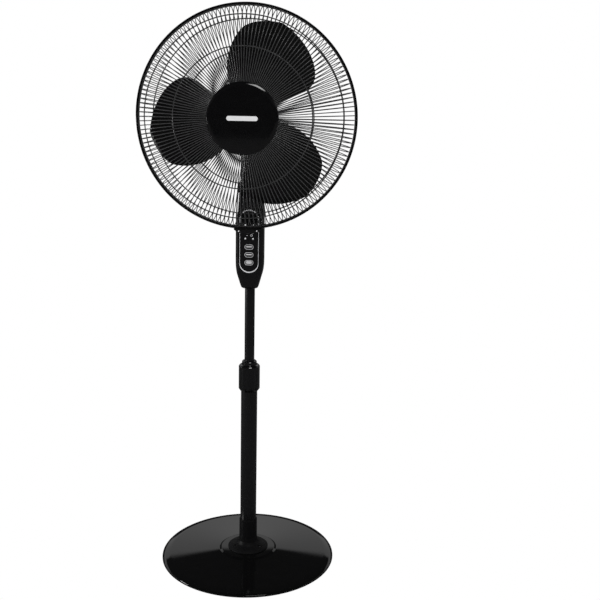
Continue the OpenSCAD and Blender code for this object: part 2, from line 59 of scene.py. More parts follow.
# ---------------------------------------------------------------- driving sizes, read from the frame

band_low, band_high = box_mm("guard_band")
HEAD_Z = (band_low.z + band_high.z) / 2
RING_Y = (band_low.y + band_high.y) / 2
GUARD_R = (band_high.x - band_low.x) / 2
BADGE_R = (box_mm("front_badge")[1].x - box_mm("front_badge")[0].x) / 2
BASE_R = box_mm("base_cover")[1].x
BASE_TOP = box_mm("base_cover")[1].z
TUBE_R = box_mm("lower_tube")[1].x
POLE_R = box_mm("upper_pole")[1].x
MOTOR_R = box_mm("motor_front_cover")[1].x
COLUMN_BACK = box_mm("column_rear")[1].y
WIRES = 150


# ---------------------------------------------------------------- placing

def on_axis(forward=0.0):
    """Local +Z points forwards along the blade's axis, local XY is the front view."""
    return Matrix.Translation((0, -forward * MM, HEAD_Z * MM)) @ Matrix.Rotation(math.pi / 2, 4, "X")


UPRIGHT = Matrix.Identity(4)
AXIS = on_axis()
RING = on_axis(-RING_Y)


# ---------------------------------------------------------------- mesh helpers

def make_object(name, bm, smooth_angle=35.0):
    """Turns a bmesh into an object, with sharp edges above the given angle."""
    bmesh.ops.remove_doubles(bm, verts=bm.verts, dist=1e-7)
    bmesh.ops.recalc_face_normals(bm, faces=bm.faces)
    mesh = bpy.data.meshes.new(name)
    bm.to_mesh(mesh)
    bm.free()
    obj = bpy.data.objects.new(name, mesh)
    bpy.context.scene.collection.objects.link(obj)
    shade(obj, smooth_angle)
    return obj


def shade(obj, angle=35.0):
    """Shades smooth, with sharp edges above the given angle."""
    mesh = obj.data
    mesh.polygons.foreach_set("use_smooth", [True] * len(mesh.polygons))
    mesh.set_sharp_from_angle(angle=math.radians(angle))
    mesh.update()


def filleted(points, steps=6):
    """A closed outline of (x, y) or (x, y, radius) corners, with the radii turned into arcs."""
    out = []
    count = len(points)
    for i, point in enumerate(points):
        radius = point[2] if len(point) > 2 else 0
        here = Vector(point[:2])
        if not radius:
            out.append(here)
            continue
        to_last = Vector(points[i - 1][:2]) - here
        to_next = Vector(points[(i + 1) % count][:2]) - here
        half = to_last.angle(to_next) / 2
        reach = min(radius / math.tan(half), 0.49 * to_last.length, 0.49 * to_next.length)
        radius = reach * math.tan(half)
        middle = (to_last.normalized() + to_next.normalized()).normalized()
        centre = here + middle * (radius / math.sin(half))
        start = here + to_last.normalized() * reach - centre
        end = here + to_next.normalized() * reach - centre
        turn = start.angle_signed(end)
        for k in range(steps + 1):
            a = -turn * k / steps
            out.append(centre + Vector((start.x * math.cos(a) - start.y * math.sin(a),
                                        start.x * math.sin(a) + start.y * math.cos(a))))
    return out


def lathe(name, outline, place=UPRIGHT, steps=160, smooth_angle=35.0):
    """Spins a closed outline of (radius, height) about the local Z axis."""
    bm = bmesh.new()
    rings = []
    for point in filleted(outline):
        r, h = max(point.x, 0.0) * MM, point.y * MM
        if r < 1e-7:
            rings.append([bm.verts.new(place @ Vector((0, 0, h)))])
        else:
            rings.append([bm.verts.new(place @ Vector((r * math.cos(a), r * math.sin(a), h)))
                          for a in (2 * math.pi * k / steps for k in range(steps))])
    for i, ring in enumerate(rings):
        other = rings[(i + 1) % len(rings)]
        for k in range(steps):
            n = (k + 1) % steps
            corners = [ring[k % len(ring)], ring[n % len(ring)], other[n % len(other)],
                       other[k % len(other)]]
            corners = list(dict.fromkeys(corners))
            if len(corners) > 2:
                bm.faces.new(corners)
    return make_object(name, bm, smooth_angle)


def add_tube(bm, path, radius, sides):
    """Adds a round rod with flat ends along a path of points in metres."""
    count = len(path)
    loops = []
    side = None
    for i, point in enumerate(path):
        ahead = path[i + 1] if i < count - 1 else point
        behind = path[i - 1] if i > 0 else point
        tangent = (ahead - behind).normalized()
        if side is None:
            side = tangent.orthogonal().normalized()
        side = (side - tangent * side.dot(tangent)).normalized()
        other = tangent.cross(side)
        loops.append([bm.verts.new(point + radius * (side * math.cos(a) + other * math.sin(a)))
                      for a in (2 * math.pi * k / sides for k in range(sides))])
    for first, second in zip(loops, loops[1:]):
        for k in range(sides):
            n = (k + 1) % sides
            bm.faces.new((first[k], first[n], second[n], second[k]))
    bm.faces.new(loops[0])
    bm.faces.new(list(reversed(loops[-1])))


def add_ring(bm, place, r, h, rod_r, steps=240, sides=14):
    """Adds a round hoop of radius r at height h, all in millimetres."""
    loops = []
    for k in range(steps):
        a = 2 * math.pi * k / steps
        loops.append([bm.verts.new(place @ Vector((
            (r + rod_r * math.cos(b)) * math.cos(a) * MM,
            (r + rod_r * math.cos(b)) * math.sin(a) * MM,
            (h + rod_r * math.sin(b)) * MM)))
            for b in (2 * math.pi * j / sides for j in range(sides))])
    for k in range(steps):
        first, second = loops[k], loops[(k + 1) % steps]
        for j in range(sides):
            n = (j + 1) % sides
            bm.faces.new((first[j], first[n], second[n], second[j]))


def loft(name, sections, smooth_angle=35.0):
    """Joins a stack of equal closed loops of points in metres."""
    bm = bmesh.new()
    loops = [[bm.verts.new(p) for p in section] for section in sections]
    for first, second in zip(loops, loops[1:]):
        for k in range(len(first)):
            n = (k + 1) % len(first)
            bm.faces.new((first[k], first[n], second[n], second[k]))
    bm.faces.new(list(reversed(loops[0])))
    bm.faces.new(loops[-1])
    return make_object(name, bm, smooth_angle)


def slot_outline(w, h, steps=20):
    """A slot w wide and h high with round ends, centred on the origin."""
    r = min(w, h) / 2
    tall = h >= w
    points = []
    for end in (1, -1):
        for k in range(steps + 1):
            a = math.pi * k / steps + (0 if end > 0 else math.pi)
            x, y = r * math.cos(a), r * math.sin(a) + end * (max(w, h) / 2 - r)
            points.append((x, y) if tall else (y, -x))
    return points


def slab(name, w, h, z0, z1, place, edge=0.4, back_edge=None, steps=5):
    """A slot-shaped plate from z0 to z1 (front), with its edges rounded by edge."""
    back_edge = edge if back_edge is None else back_edge
    sections = []
    for k in range(steps + 1):
        a = math.pi / 2 * k / steps
        inset = back_edge * (1 - math.sin(a))
        z = z0 + back_edge * (1 - math.cos(a))
        sections.append([(x, y, z) for x, y in slot_outline(w - 2 * inset, h - 2 * inset)])
    for k in range(steps, -1, -1):
        a = math.pi / 2 * k / steps
        inset = edge * (1 - math.sin(a))
        z = z1 - edge * (1 - math.cos(a))
        sections.append([(x, y, z) for x, y in slot_outline(w - 2 * inset, h - 2 * inset)])
    return loft(name, [[place @ (Vector(p) * MM) for p in s] for s in sections])


def cut(obj, *tools):
    """Cuts each tool object out of obj and throws the tools away."""
    for tool in tools:
        mod = obj.modifiers.new("cut", "BOOLEAN")
        mod.operation = "DIFFERENCE"
        mod.solver = "EXACT"
        mod.object = tool
        apply_modifiers(obj)
        bpy.data.objects.remove(tool)
    shade(obj)
    return obj


def apply_modifiers(obj):
    """Replaces the mesh with its modified state."""
    graph = bpy.context.evaluated_depsgraph_get()
    mesh = bpy.data.meshes.new_from_object(obj.evaluated_get(graph))
    obj.modifiers.clear()
    obj.data = mesh


def drill(place, r, z0, z1, steps):
    """A cylinder of radius r along local Z, used only as a cutting tool."""
    return lathe("hole", [(0, z0), (r, z0), (r, z1), (0, z1)], place, steps=steps)


def block(name, low, high):
    """A plain box in millimetres, used only as a cutting tool."""
    bm = bmesh.new()
    bmesh.ops.create_cube(bm, size=1)
    for v in bm.verts:
        v.co = Vector([(lo + (c + 0.5) * (hi - lo)) * MM for lo, hi, c in zip(low, high, v.co)])
    return make_object(name, bm)


def join(name, objects):
    """Joins objects into the first one."""
    bm = bmesh.new()
    for obj in objects:
        bm.from_mesh(obj.data)
        bpy.data.objects.remove(obj)
    return make_object(name, bm)


def piece(obj, body, slot, material, *replaced):
    """Gives a finished piece its material and body, and hides the CAD nodes it replaces; slot is not used."""
    obj.data.materials.clear()
    obj.data.materials.append(material)
    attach(obj, body)
    if replaced:
        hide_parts(*replaced)
    return obj


# ---------------------------------------------------------------- materials

def surface(name, colour, rough, *, spread=0.05, grain=900.0, bump=0.02, metallic=0.0, coat=0.0,
            tint=0.25, patch=35.0, stretch=(1, 1, 1), specular=0.5):
    """A moulded, painted or metal surface: uneven gloss and colour in soft patches, and a fine grain."""
    mat = bpy.data.materials.new(name)
    mat.use_nodes = True
    tree = mat.node_tree
    shader = tree.nodes["Principled BSDF"]
    shader.inputs["Metallic"].default_value = metallic
    shader.inputs["Coat Weight"].default_value = coat
    shader.inputs["Coat Roughness"].default_value = 0.04
    shader.inputs["Specular IOR Level"].default_value = specular
    coords = tree.nodes.new("ShaderNodeTexCoord")
    mapping = tree.nodes.new("ShaderNodeMapping")
    mapping.inputs["Scale"].default_value = stretch
    tree.links.new(coords.outputs["Object"], mapping.inputs["Vector"])

    def noise(scale, detail):
        node = tree.nodes.new("ShaderNodeTexNoise")
        node.inputs["Scale"].default_value = scale
        node.inputs["Detail"].default_value = detail
        tree.links.new(mapping.outputs["Vector"], node.inputs["Vector"])
        return node.outputs["Fac"]

    patches = noise(patch, 4)
    gloss = tree.nodes.new("ShaderNodeMapRange")
    gloss.inputs["From Min"].default_value = 0.3
    gloss.inputs["From Max"].default_value = 0.7
    gloss.inputs["To Min"].default_value = max(rough - spread, 0.02)
    gloss.inputs["To Max"].default_value = rough + spread
    tree.links.new(patches, gloss.inputs["Value"])
    tree.links.new(gloss.outputs["Result"], shader.inputs["Roughness"])
    shades = tree.nodes.new("ShaderNodeMix")
    shades.data_type = "RGBA"
    shades.inputs[6].default_value = [c * (1 - tint) for c in colour] + [1]
    shades.inputs[7].default_value = [min(c * (1 + tint), 1) for c in colour] + [1]
    tree.links.new(noise(patch * 2.3, 6), shades.inputs["Factor"])
    tree.links.new(shades.outputs[2], shader.inputs["Base Color"])
    relief = tree.nodes.new("ShaderNodeBump")
    relief.inputs["Strength"].default_value = bump
    relief.inputs["Distance"].default_value = 0.0004
    tree.links.new(noise(grain, 3), relief.inputs["Height"])
    tree.links.new(relief.outputs["Normal"], shader.inputs["Normal"])
    return mat


GLOSS_BLACK = surface("gloss_black_plastic", (0.0035, 0.0035, 0.0038), 0.09, spread=0.03, grain=260,
                      bump=0.012, coat=0.3)
BASE_BLACK = surface("base_black_plastic", (0.0025, 0.0025, 0.0026), 0.03, spread=0.01, grain=420,
                     bump=0.03, patch=22)
SATIN_BLACK = surface("satin_black_plastic", (0.006, 0.006, 0.0065), 0.36, spread=0.06, grain=2400, bump=0.12)
BLADE_BLACK = surface("blade_black_plastic", (0.004, 0.004, 0.004), 0.22, spread=0.06, grain=700,
                      bump=0.03, patch=18)
WIRE_BLACK = surface("wire_black_paint", (0.04, 0.04, 0.041), 0.25, specular=0.8, spread=0.05,
                     grain=1500, bump=0.05)
TUBE_BLACK = surface("tube_black_paint", (0.0045, 0.0045, 0.005), 0.26, spread=0.05, grain=520, bump=0.03,
                     stretch=(1, 1, 0.35))
FOOT_BLACK = surface("foot_black_plastic", (0.004, 0.004, 0.0045), 0.5, specular=0.15, spread=0.06,
                     grain=2400, bump=0.12)
RUBBER = surface("black_rubber", (0.012, 0.012, 0.012), 0.75, spread=0.08, grain=1600, bump=0.25)
CAST = surface("cast_weight", (0.06, 0.058, 0.055), 0.8, spread=0.1, grain=420, bump=0.6, metallic=0.4)
STEEL = surface("zinc_plated_steel", (0.52, 0.53, 0.55), 0.3, spread=0.1, grain=1800, bump=0.08, metallic=1,
                tint=0.1, stretch=(1, 1, 6))
CASTING = surface("die_cast_zinc", (0.36, 0.36, 0.38), 0.5, spread=0.1, grain=900, bump=0.25, metallic=1)
# Painted highlight: a near-white, barely metallic colour for the chrome panel rim and the clasp rivets. It
# stands in for their bright reflections and glints.
PAINTED_HIGHLIGHT_WHITE = surface("trim_white_painted_highlight", (0.88, 0.88, 0.9), 0.28, spread=0.05, grain=900, bump=0.03, metallic=0.1,
                 tint=0.06)
PRINT_WHITE = surface("white_print", (0.78, 0.78, 0.79), 0.4, spread=0.06, grain=2500, bump=0.05, tint=0.05)
PRINT_GREY = surface("grey_print", (0.62, 0.62, 0.63), 0.4, spread=0.06, grain=2500, bump=0.05, tint=0.08)
LENS_WHITE = surface("lamp_lens", (0.93, 0.95, 0.97), 0.2, spread=0.05, grain=900, bump=0.03, tint=0.06)
BOARD = surface("circuit_board", (0.01, 0.07, 0.03), 0.4, spread=0.08, grain=1200, bump=0.1)
COPPER = surface("enamelled_copper", (0.55, 0.2, 0.08), 0.28, spread=0.08, grain=1100, bump=0.6, metallic=1,
                 stretch=(6, 1, 1))
BRONZE = surface("sintered_bronze", (0.45, 0.28, 0.12), 0.45, spread=0.1, grain=1600, bump=0.25, metallic=1)
NYLON = surface("natural_nylon", (0.62, 0.6, 0.52), 0.4, spread=0.08, grain=900, bump=0.06, tint=0.08)
CAPACITOR = surface("capacitor_case", (0.4, 0.34, 0.2), 0.45, spread=0.08, grain=900, bump=0.08)


# ---------------------------------------------------------------- base and pole

BOSS_R = 66             # the raised ring round the base's middle
FLANGE_SCREW_R = 33


def build_base():
    """The base's shallow cone with its raised boss, and the collar that holds the pole, with its screws."""
    boss_h = BASE_TOP
    hole_r = TUBE_R + 2.9
    cover = lathe("base_shell", [
        (hole_r, boss_h), (BOSS_R - 5, boss_h, 3), (BOSS_R, boss_h - 4, 3), (BASE_R - 17, 10.4, 60),
        (BASE_R - 5, 8.2, 12), (BASE_R, 4.6, 3), (BASE_R, 1, 0.6), (BASE_R - 2.5, 1, 0.6),
        (BASE_R - 2.5, 3.4, 1), (BASE_R - 7, 6, 3), (BASE_R - 17, 7.8, 20), (BOSS_R - 2, boss_h - 6.6, 2),
        (BOSS_R - 5, boss_h - 2.5, 2), (hole_r, boss_h - 2.5)], steps=288, smooth_angle=50)
    piece(cover, "stand", "gloss_black", BASE_BLACK, "base_cover")
    sleeve_top = box_mm("foot_collar")[1].z
    floor = boss_h + 0.05
    inside = TUBE_R + 0.05
    collar = lathe("foot_flange", [
        (inside, floor), (46, floor, 0.4), (46, boss_h + 2, 1), (41, boss_h + 5.4, 5), (27, boss_h + 9.5, 9),
        (TUBE_R + 3.6, boss_h + 17, 8), (TUBE_R + 2.1, boss_h + 26, 5), (TUBE_R + 1.9, sleeve_top - 1, 0.6),
        (TUBE_R + 1.3, sleeve_top, 0.5),
        (inside, sleeve_top)], steps=160)
    wells, heads = [], []
    for k in range(3):
        a = math.radians(90 + 120 * k)
        spot = Matrix.Translation((FLANGE_SCREW_R * math.cos(a) * MM, FLANGE_SCREW_R * math.sin(a) * MM, 0))
        wells.append(drill(spot, 3.2, boss_h + 4, boss_h + 14, 32))
        heads.append(screw_head("flange_screw", spot @ Matrix.Translation((0, 0, (boss_h + 4) * MM)), 3, 2))
    cut(collar, *wells)
    piece(collar, "stand", "satin_black", FOOT_BLACK, "foot_collar")
    piece(join("flange_screws", heads), "stand", "steel", STEEL)


def screw_head(name, place, r, h):
    """A domed cross-head, standing on local z = 0."""
    head = lathe(name, [(0, 0), (r, 0), (r, h * 0.35, 0.3), (r * 0.7, h, r * 0.5), (0, h)], place, steps=32)
    arms = []
    for turn in (0, math.pi / 2):
        arm = block("arm", (-r * 0.55, -r * 0.1, h * 0.45), (r * 0.55, r * 0.1, h * 1.5))
        arm.data.transform(place @ Matrix.Rotation(turn, 4, "Z"))
        arms.append(arm)
    return cut(head, *arms)


def build_pole():
    """Two telescopic tubes."""
    low, high = box_mm("lower_tube")
    bore = TUBE_R - 1.3
    tube = lathe("lower_pole_tube", [
        (bore, low.z), (TUBE_R, low.z, 0.3), (TUBE_R, high.z, 0.4), (bore, high.z, 0.3)], steps=128)
    piece(tube, "stand", "tube_black", TUBE_BLACK, "lower_tube")
    low, high = box_mm("upper_pole")
    bore = POLE_R - 1.2
    pole = lathe("upper_pole_tube", [
        (bore, low.z), (POLE_R, low.z, 0.3), (POLE_R, high.z, 0.3), (bore, high.z)], steps=96)
    piece(pole, "column", "tube_black", TUBE_BLACK, "upper_pole")


def build_lock_collar():
    """A grip with twelve shallow flutes, a chamfered shoulder and a narrower lip on top."""
    low, high = box_mm("lock_collar")
    grip_r, grip_low, top = high.x + 0.4, low.z + 1, high.z
    grip_high = top - 12.6
    foot = low.z - 3.5
    inner = [(POLE_R + 0.8, top), (POLE_R + 0.8, grip_high + 1), (16.6, grip_high - 6), (16.6, low.z + 12),
             (TUBE_R + 0.6, low.z + 12), (TUBE_R + 0.6, foot)]
    grip = fluted("collar_grip", [
        (TUBE_R + 1.0, foot), (TUBE_R + 2.1, foot, 0.6), (grip_r, grip_low, 1.2), (grip_r, grip_high, 0.8),
        (grip_r - 2.2, grip_high + 3.1, 0.6), (17.2, grip_high + 3.6, 0.6), (16.7, grip_high + 4.4, 0.4),
        (16.5, top - 2, 0.4), (15.1, top, 0.5), (POLE_R + 1.4, top)], inner, 12, 1.0, grip_low, grip_high - 1)
    piece(grip, "collar", "gloss_black", GLOSS_BLACK, "lock_collar")


def ramp(x, start, end):
    """0 before start, 1 after end, and smooth between."""
    t = min(max((x - start) / (end - start), 0.0), 1.0)
    return t * t * (3 - 2 * t)


# ---------------------------------------------------------------- column

# Height, half width and half depth of the column
COLUMN = [(635, 13.5, 14), (635.8, 16, 16), (638, 18.2, 18.6), (642, 19.6, 20.6), (651, 22.1, 23.6),
          (659, 24.3, 25.4), (668, 26.9, 26.6), (678, 28.8, 27), (690, 29.8, 27), (703, 30, 27),
          (790, 30, 27), (815, 29, 27), (835, 27.7, 26.8), (848, 26.6, 26), (857, 25.2, 24.4),
          (865, 23.2, 21.8), (870, 21.6, 19.6), (872, 20.4, 18.4)]
SPLIT_Y = 3.0
SHELL_T = 2.4


def along(table, x, column):
    """Reads a table of (x, ...) rows with a smooth monotone curve between them."""
    rows = [(row[0], row[column]) for row in table]
    for i in range(len(rows) - 1):
        if x <= rows[i + 1][0]:
            break
    slopes = []
    for k in (i, i + 1):
        before, after = rows[max(k - 1, 0)], rows[min(k + 1, len(rows) - 1)]
        here = rows[k]
        left = (here[1] - before[1]) / (here[0] - before[0]) if here != before else 0
        right = (after[1] - here[1]) / (after[0] - here[0]) if here != after else 0
        slopes.append(2 * left * right / (left + right) if left * right > 0 else 0)
    (x0, y0), (x1, y1) = rows[i], rows[i + 1]
    t, w = (x - x0) / (x1 - x0), x1 - x0
    return ((2 * t ** 3 - 3 * t ** 2 + 1) * y0 + (t ** 3 - 2 * t ** 2 + t) * w * slopes[0]
            + (-2 * t ** 3 + 3 * t ** 2) * y1 + (t ** 3 - t ** 2) * w * slopes[1])


def half_loop(a, b, corner, side, inset):
    """Half of a rounded rectangle, from the seam round one side's face and back to the seam."""
    a, b = a - inset, b - inset
    corner = max(min(corner, 0.72 * a, 0.72 * b) - inset, 1)
    seam = SPLIT_Y + (0.06 if side > 0 else 0)
    points = [(a, seam)]
    for k in range(13):
        t = math.pi / 2 * k / 12
        points.append((a - corner + corner * math.cos(t), side * (b - corner + corner * math.sin(t))))
    return points + [(-x, y) for x, y in reversed(points)]


def column_half(name, side):
    """One shell of the column: side -1 is the front half, 1 the rear half."""
    sections = []
    heights = [row[0] for row in COLUMN]
    levels = sorted({h0 + (h1 - h0) * k / 4 for h0, h1 in zip(heights, heights[1:]) for k in range(4)}
                    | {heights[-1]})
    for z in levels:
        a, b = along(COLUMN, z, 1), along(COLUMN, z, 2)
        outer = half_loop(a, b, 11, side, 0)
        inner = half_loop(a, b, 11, side, SHELL_T)
        sections.append([Vector((x, y, z)) * MM for x, y in outer + list(reversed(inner))])
    return loft(name, sections, smooth_angle=32)


def facing(z):
    """Local +Z points forwards, at height z on the column's front."""
    return Matrix.Translation((0, 0, z * MM)) @ Matrix.Rotation(math.pi / 2, 4, "X")


def build_column():
    """The two halves of the column's shell, their screws, and the panel in the front half."""
    low, high = box_mm("panel_trim")
    middle, wide, tall = (low.z + high.z) / 2, high.x - low.x, high.z - low.z
    front = column_half("column_face_shell", -1)
    cut(front, slab("window", wide - 0.2, tall - 0.2, 0, 60, facing(middle), edge=0.1))
    piece(front, "column", "gloss_black", GLOSS_BLACK, "column_front")
    rear = column_half("column_back_shell", 1)
    piece(rear, "column", "gloss_black", GLOSS_BLACK, "column_rear")
    heads = []
    for x in (-17, 17):
        for z in (740, 820):
            seat = Matrix.Translation((x * MM, (COLUMN_BACK + 0.05) * MM, z * MM))
            heads.append(screw_head("shell_screw", seat @ Matrix.Rotation(-math.pi / 2, 4, "X"), 3, 1.2))
    piece(join("column_screw_heads", heads), "column", "steel", STEEL, "column_screws")
    build_panel(middle, wide, tall)


def oval_ring(name, w, h, line, z0, z1, place):
    """A thin oval line of the given width."""
    outer = slab(name, w, h, z0, z1, place, edge=0.05)
    return cut(outer, slab("hole", w - 2 * line, h - 2 * line, z0 - 1, z1 + 1, place, edge=0.01))


def build_panel(middle, wide, tall):
    """The rim, near white as a painted highlight of its chrome, the black panel with its six lamps, and the
    three keys.
    """
    trim_front = -box_mm("panel_trim")[0].y
    side, end = 0.65, 2.4
    trim = slab("panel_rim", wide, tall, trim_front - 3, trim_front, facing(middle), edge=0.4, back_edge=0.05)
    cut(trim, slab("hole", wide - 2 * side, tall - 2 * end, 0, 60, facing(middle), edge=0.1))
    # The rim's near-white colour is a painted highlight standing in for the chrome's reflections.
    piece(trim, "column", "chrome_trim", PAINTED_HIGHLIGHT_WHITE, "panel_trim")
    face = -box_mm("control_panel")[0].y
    panel = slab("panel_face", wide - 2 * side - 0.1, tall - 2 * end - 0.1, face - 2.6, face, facing(middle),
                 edge=0.15)
    keys = {"power_key": box_mm("power_button"), "speed_key": box_mm("speed_button"),
            "timer_key": box_mm("timer_button")}
    holes = []
    for low, high in keys.values():
        holes.append(slab("hole", 20.6, 12.6, 0, 60, facing((low.z + high.z) / 2), edge=0.1))
    lamp_low, lamp_high = box_mm("indicator_lights")
    lamp_x = lamp_high.x - 0.7
    lamp_rows = [lamp_low.z + 1.4, 760, lamp_high.z - 1.4]
    for z in lamp_rows:
        for x in (-lamp_x, lamp_x):
            spot = facing(z) @ Matrix.Translation((x * MM, 0, 0))
            holes.append(drill(spot, 1.9, 0, 60, 32))
    cut(panel, *holes)
    piece(panel, "column", "gloss_black", GLOSS_BLACK, "control_panel")
    lamps = []
    for z in lamp_rows:
        for x in (-lamp_x, lamp_x):
            spot = facing(z) @ Matrix.Translation((x * MM, 0, 0))
            lamps.append(lathe("lamp", [(0, 18.6), (1.8, 18.6), (1.8, face - 0.3, 0.3),
                                        (1.5, face + 0.2, 0.8), (0, face + 0.2)], spot, steps=32))
    piece(join("lamp_lenses", lamps), "column", "lamp", LENS_WHITE, "indicator_lights")
    for body, (low, high) in keys.items():
        build_key(body, (low.z + high.z) / 2, -low.y)
    build_panel_marks(face, middle)


def build_key(body, z, front):
    """A key with its flange, its printed oval and a plain mark."""
    cap = slab(body + "_cap", 20, 12, front - 4, front, facing(z), edge=1.1, back_edge=0.1)
    flange = slab("flange", 23, 15, front - 5, front - 3.9, facing(z), edge=0.1)
    node = body.replace("_key", "_button")
    piece(join(body + "_cap", [cap, flange]), body, "satin_black", SATIN_BLACK, node)
    line = oval_ring(body + "_line", 18.8, 10.8, 1.0, front - 0.15, front + 0.12, facing(z))
    piece(line, body, "white_mark", PRINT_GREY)
    wide, tall, ink = (13, 6.2, PRINT_GREY) if body == "timer_key" else (12.5, 2, PRINT_WHITE)
    mark = slab(body + "_mark", wide, tall, front - 0.1, front + 0.14, facing(z + 0.6), edge=0.05)
    piece(mark, body, "white_mark", ink)


def build_panel_marks(face, middle):
    """Plain symbols beside the lamps: a ring and short bars in place of words."""
    bm = bmesh.new()
    spot = facing(middle + 13.2) @ Matrix.Translation((5 * MM, 0, 0))
    add_ring(bm, spot, 2.2, face, 0.45, steps=40, sides=8)
    marks = [make_object("ring", bm)]
    for x, z, w in ((-4.6, 12.5, 3), (4.8, 31, 4.4), (-4.6, 31, 3.4)):
        place = facing(middle + z) @ Matrix.Translation((x * MM, 0, 0))
        marks.append(slab("bar", w, 0.7, face - 0.1, face + 0.08, place, edge=0.03))
    piece(join("panel_marks", marks), "column", "white_mark", PRINT_GREY)


# ---------------------------------------------------------------- head

VENT_RING_R = 38


def build_motor():
    """Two vented covers round the motor, the rear one open below over the gear case."""
    low, high = box_mm("motor_front_cover")
    front, split, r = -low.y, -high.y, MOTOR_R
    shell = lathe("motor_front_shell", [
        (30, front), (r - 5, front, 5), (r, front - 7, 4), (r, split, 0.3), (r - 2.4, split),
        (r - 2.4, front - 6, 3), (r - 7, front - 2.4, 2), (30, front - 2.4)], AXIS)
    vents = []
    for k in range(24):
        a = 2 * math.pi * k / 24
        spot = AXIS @ Matrix.Translation((VENT_RING_R * math.cos(a) * MM, VENT_RING_R * math.sin(a) * MM, 0))
        vents.append(drill(spot, 2, front - 5, front + 5, 16))
    cut(shell, join("vents", vents))
    piece(shell, "head", "gloss_black", GLOSS_BLACK, "motor_front_cover")

    low, high = box_mm("motor_rear_cover")
    back, split = -high.y, -low.y
    shell = lathe("motor_rear_shell", [
        (0, back), (24, back + 1, 20), (36, back + 6, 12), (45, back + 15, 12), (50, back + 27, 14),
        (r, back + 44, 20), (r, split - 0.1, 0.3), (r - 2.4, split - 0.1), (r - 2.4, back + 44, 16),
        (47.6, back + 28, 12), (43, back + 17, 10), (35, back + 8.6, 10), (24, back + 3.4, 14),
        (0, back + 2.4)], AXIS)
    slots = []
    for k in range(-2, 3):
        for side in (0, 180):
            turn = AXIS @ Matrix.Rotation(math.radians(20 * k + side), 4, "Z")
            slots.append(slab("slot", 14, 3.6, back - 1, back + 12,
                              turn @ Matrix.Translation((29 * MM, 0, 0)), edge=0.1))
    cut(shell, join("slots", slots))
    cut(shell, block("opening", (-32, -27, 930), (32, 57, 984)))
    knob_low, knob_high = box_mm("oscillation_knob")
    knob_x, knob_y = (knob_low.x + knob_high.x) / 2, (knob_low.y + knob_high.y) / 2
    knob_spot = Matrix.Translation((knob_x * MM, knob_y * MM, 0))
    cut(shell, drill(knob_spot, 7.6, HEAD_Z, HEAD_Z + 60, 64), drill(AXIS, 2, back - 1, back + 6, 32))
    piece(shell, "head", "gloss_black", GLOSS_BLACK, "motor_rear_cover")

    top, bottom = knob_high.z, knob_low.z
    knob = fluted("oscillation_pull", [
        (5, bottom, 0.4), (5, top - 20, 0.5), (6.6, top - 20, 0.6), (7.2, top - 18.6, 0.6),
        (7.2, top - 2, 1.2), (5.6, top, 1.2), (0.05, top - 0.4)],
        [(0.05, top - 8), (2.55, top - 8), (2.55, bottom)], 14, 0.35, top - 17, top - 3, knob_spot, 1.5)
    piece(knob, "knob", "gloss_black", GLOSS_BLACK, "oscillation_knob")


def fluted(name, outer, inner, flutes, dip_depth, low, high, place=UPRIGHT, blend=4.0):
    """A turned part whose side carries shallow flutes between two heights."""
    steps = 360
    points = filleted(outer, steps=5)
    outline = []
    for a, b in zip(points, points[1:]):
        parts = max(1, int((b - a).length / 1.5))
        outline += [a.lerp(b, k / parts) for k in range(parts)]
    outline.append(points[-1])
    sections = []
    for point in outline:
        depth = dip_depth * ramp(point.y, low - 1, low + blend) * ramp(-point.y, -high - 0.5, -high + blend)
        loop = []
        for k in range(steps):
            a = 2 * math.pi * k / steps
            across = (a * flutes / (2 * math.pi)) % 1 - 0.5
            r = (point.x - depth * max(0.0, 1 - (across / 0.36) ** 2)) * MM
            loop.append(place @ Vector((r * math.cos(a), r * math.sin(a), point.y * MM)))
        sections.append(loop)
    for r, z in inner:
        sections.append([place @ Vector((r * math.cos(a) * MM, r * math.sin(a) * MM, z * MM))
                         for a in (2 * math.pi * k / steps for k in range(steps))])
    bm = bmesh.new()
    loops = [[bm.verts.new(p) for p in section] for section in sections]
    for first, second in zip(loops, loops[1:] + loops[:1]):
        for k in range(steps):
            n = (k + 1) % steps
            bm.faces.new((first[k], first[n], second[n], second[k]))
    return make_object(name, bm, 40)


def blade_edges(r, tip):
    """Angles of a blade's two edges at radius r, in degrees."""
    lead = 26 + (43 * ((r - 130) / (tip - 130)) ** 2.4 if r > 130 else 0)
    trail = 120 - 26 * (r / 168) ** 2 - (15.6 * ((r - 168) / (tip - 168)) ** 2.5 if r > 168 else 0)
    return lead, trail


